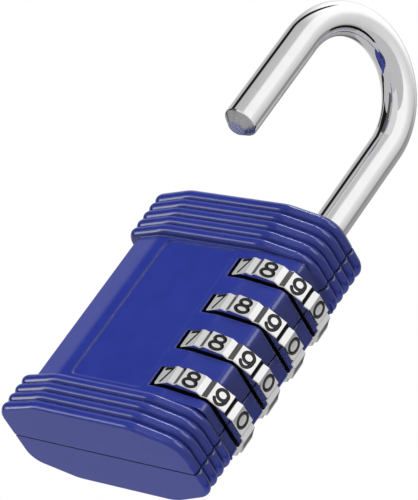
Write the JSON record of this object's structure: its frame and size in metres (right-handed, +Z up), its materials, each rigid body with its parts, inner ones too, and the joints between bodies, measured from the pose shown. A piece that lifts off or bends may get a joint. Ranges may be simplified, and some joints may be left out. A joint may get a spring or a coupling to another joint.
{
  "type": "combination padlock",
  "caption": "Combination padlock with a two-part ribbed body, number dials round the shackle's long leg and a round steel shackle that lifts and swings.",
  "frame": {"origin": "centre of the body's flat underside, on the front shell just in front of the parting line", "axes": "+Z up along the shackle's legs, +X towards the dials' end of the body, +Y to the back"},
  "size_m": [0.0425, 0.0371, 0.0874],
  "materials": {
    "body_coat": "satin",
    "dial_chrome": "polished",
    "shackle_chrome": "polished",
    "sleeve_brass": "turned",
    "inner_steel": "machined",
    "spring_steel": "drawn"
  },
  "bodies": {
    "case": {"front_shell": "body_coat", "back_shell": "body_coat", "guide_plate": "inner_steel", "sleeve_spring": "spring_steel", "detent_spring": "spring_steel", "assembly_pin_1": "inner_steel", "assembly_pin_2": "inner_steel", "assembly_pin_3": "inner_steel", "assembly_pin_4": "inner_steel"},
    "lift": {"locking_tube": "inner_steel", "leg_ring": "spring_steel"},
    "bow": {"shackle": "shackle_chrome"},
    "ring_1": {"dial_1": "dial_chrome", "sleeve_1": "sleeve_brass"},
    "ring_2": {"dial_2": "dial_chrome", "sleeve_2": "sleeve_brass"},
    "ring_3": {"dial_3": "dial_chrome", "sleeve_3": "sleeve_brass"},
    "ring_4": {"dial_4": "dial_chrome", "sleeve_4": "sleeve_brass"}
  },
  "joints": [
    {"name": "shackle_lift", "type": "slide", "parent": "case", "child": "lift", "axis": [0, 0, 1], "range_m": [-0.008, 0]},
    {"name": "shackle_swing", "type": "hinge", "parent": "lift", "child": "bow", "pos_m": [0.0131, 0, 0.045], "axis": [0, 0, 1], "range_deg": [-77.8, 102.2]},
    {"name": "dial_1_turn", "type": "hinge", "parent": "case", "child": "ring_1", "pos_m": [0.0131, 0, 0.01185], "axis": [0, 0, 1], "continuous": true},
    {"name": "dial_2_turn", "type": "hinge", "parent": "case", "child": "ring_2", "pos_m": [0.0131, 0, 0.01985], "axis": [0, 0, 1], "continuous": true},
    {"name": "dial_3_turn", "type": "hinge", "parent": "case", "child": "ring_3", "pos_m": [0.0131, 0, 0.02785], "axis": [0, 0, 1], "continuous": true},
    {"name": "dial_4_turn", "type": "hinge", "parent": "case", "child": "ring_4", "pos_m": [0.0131, 0, 0.03585], "axis": [0, 0, 1], "continuous": true}
  ]
}
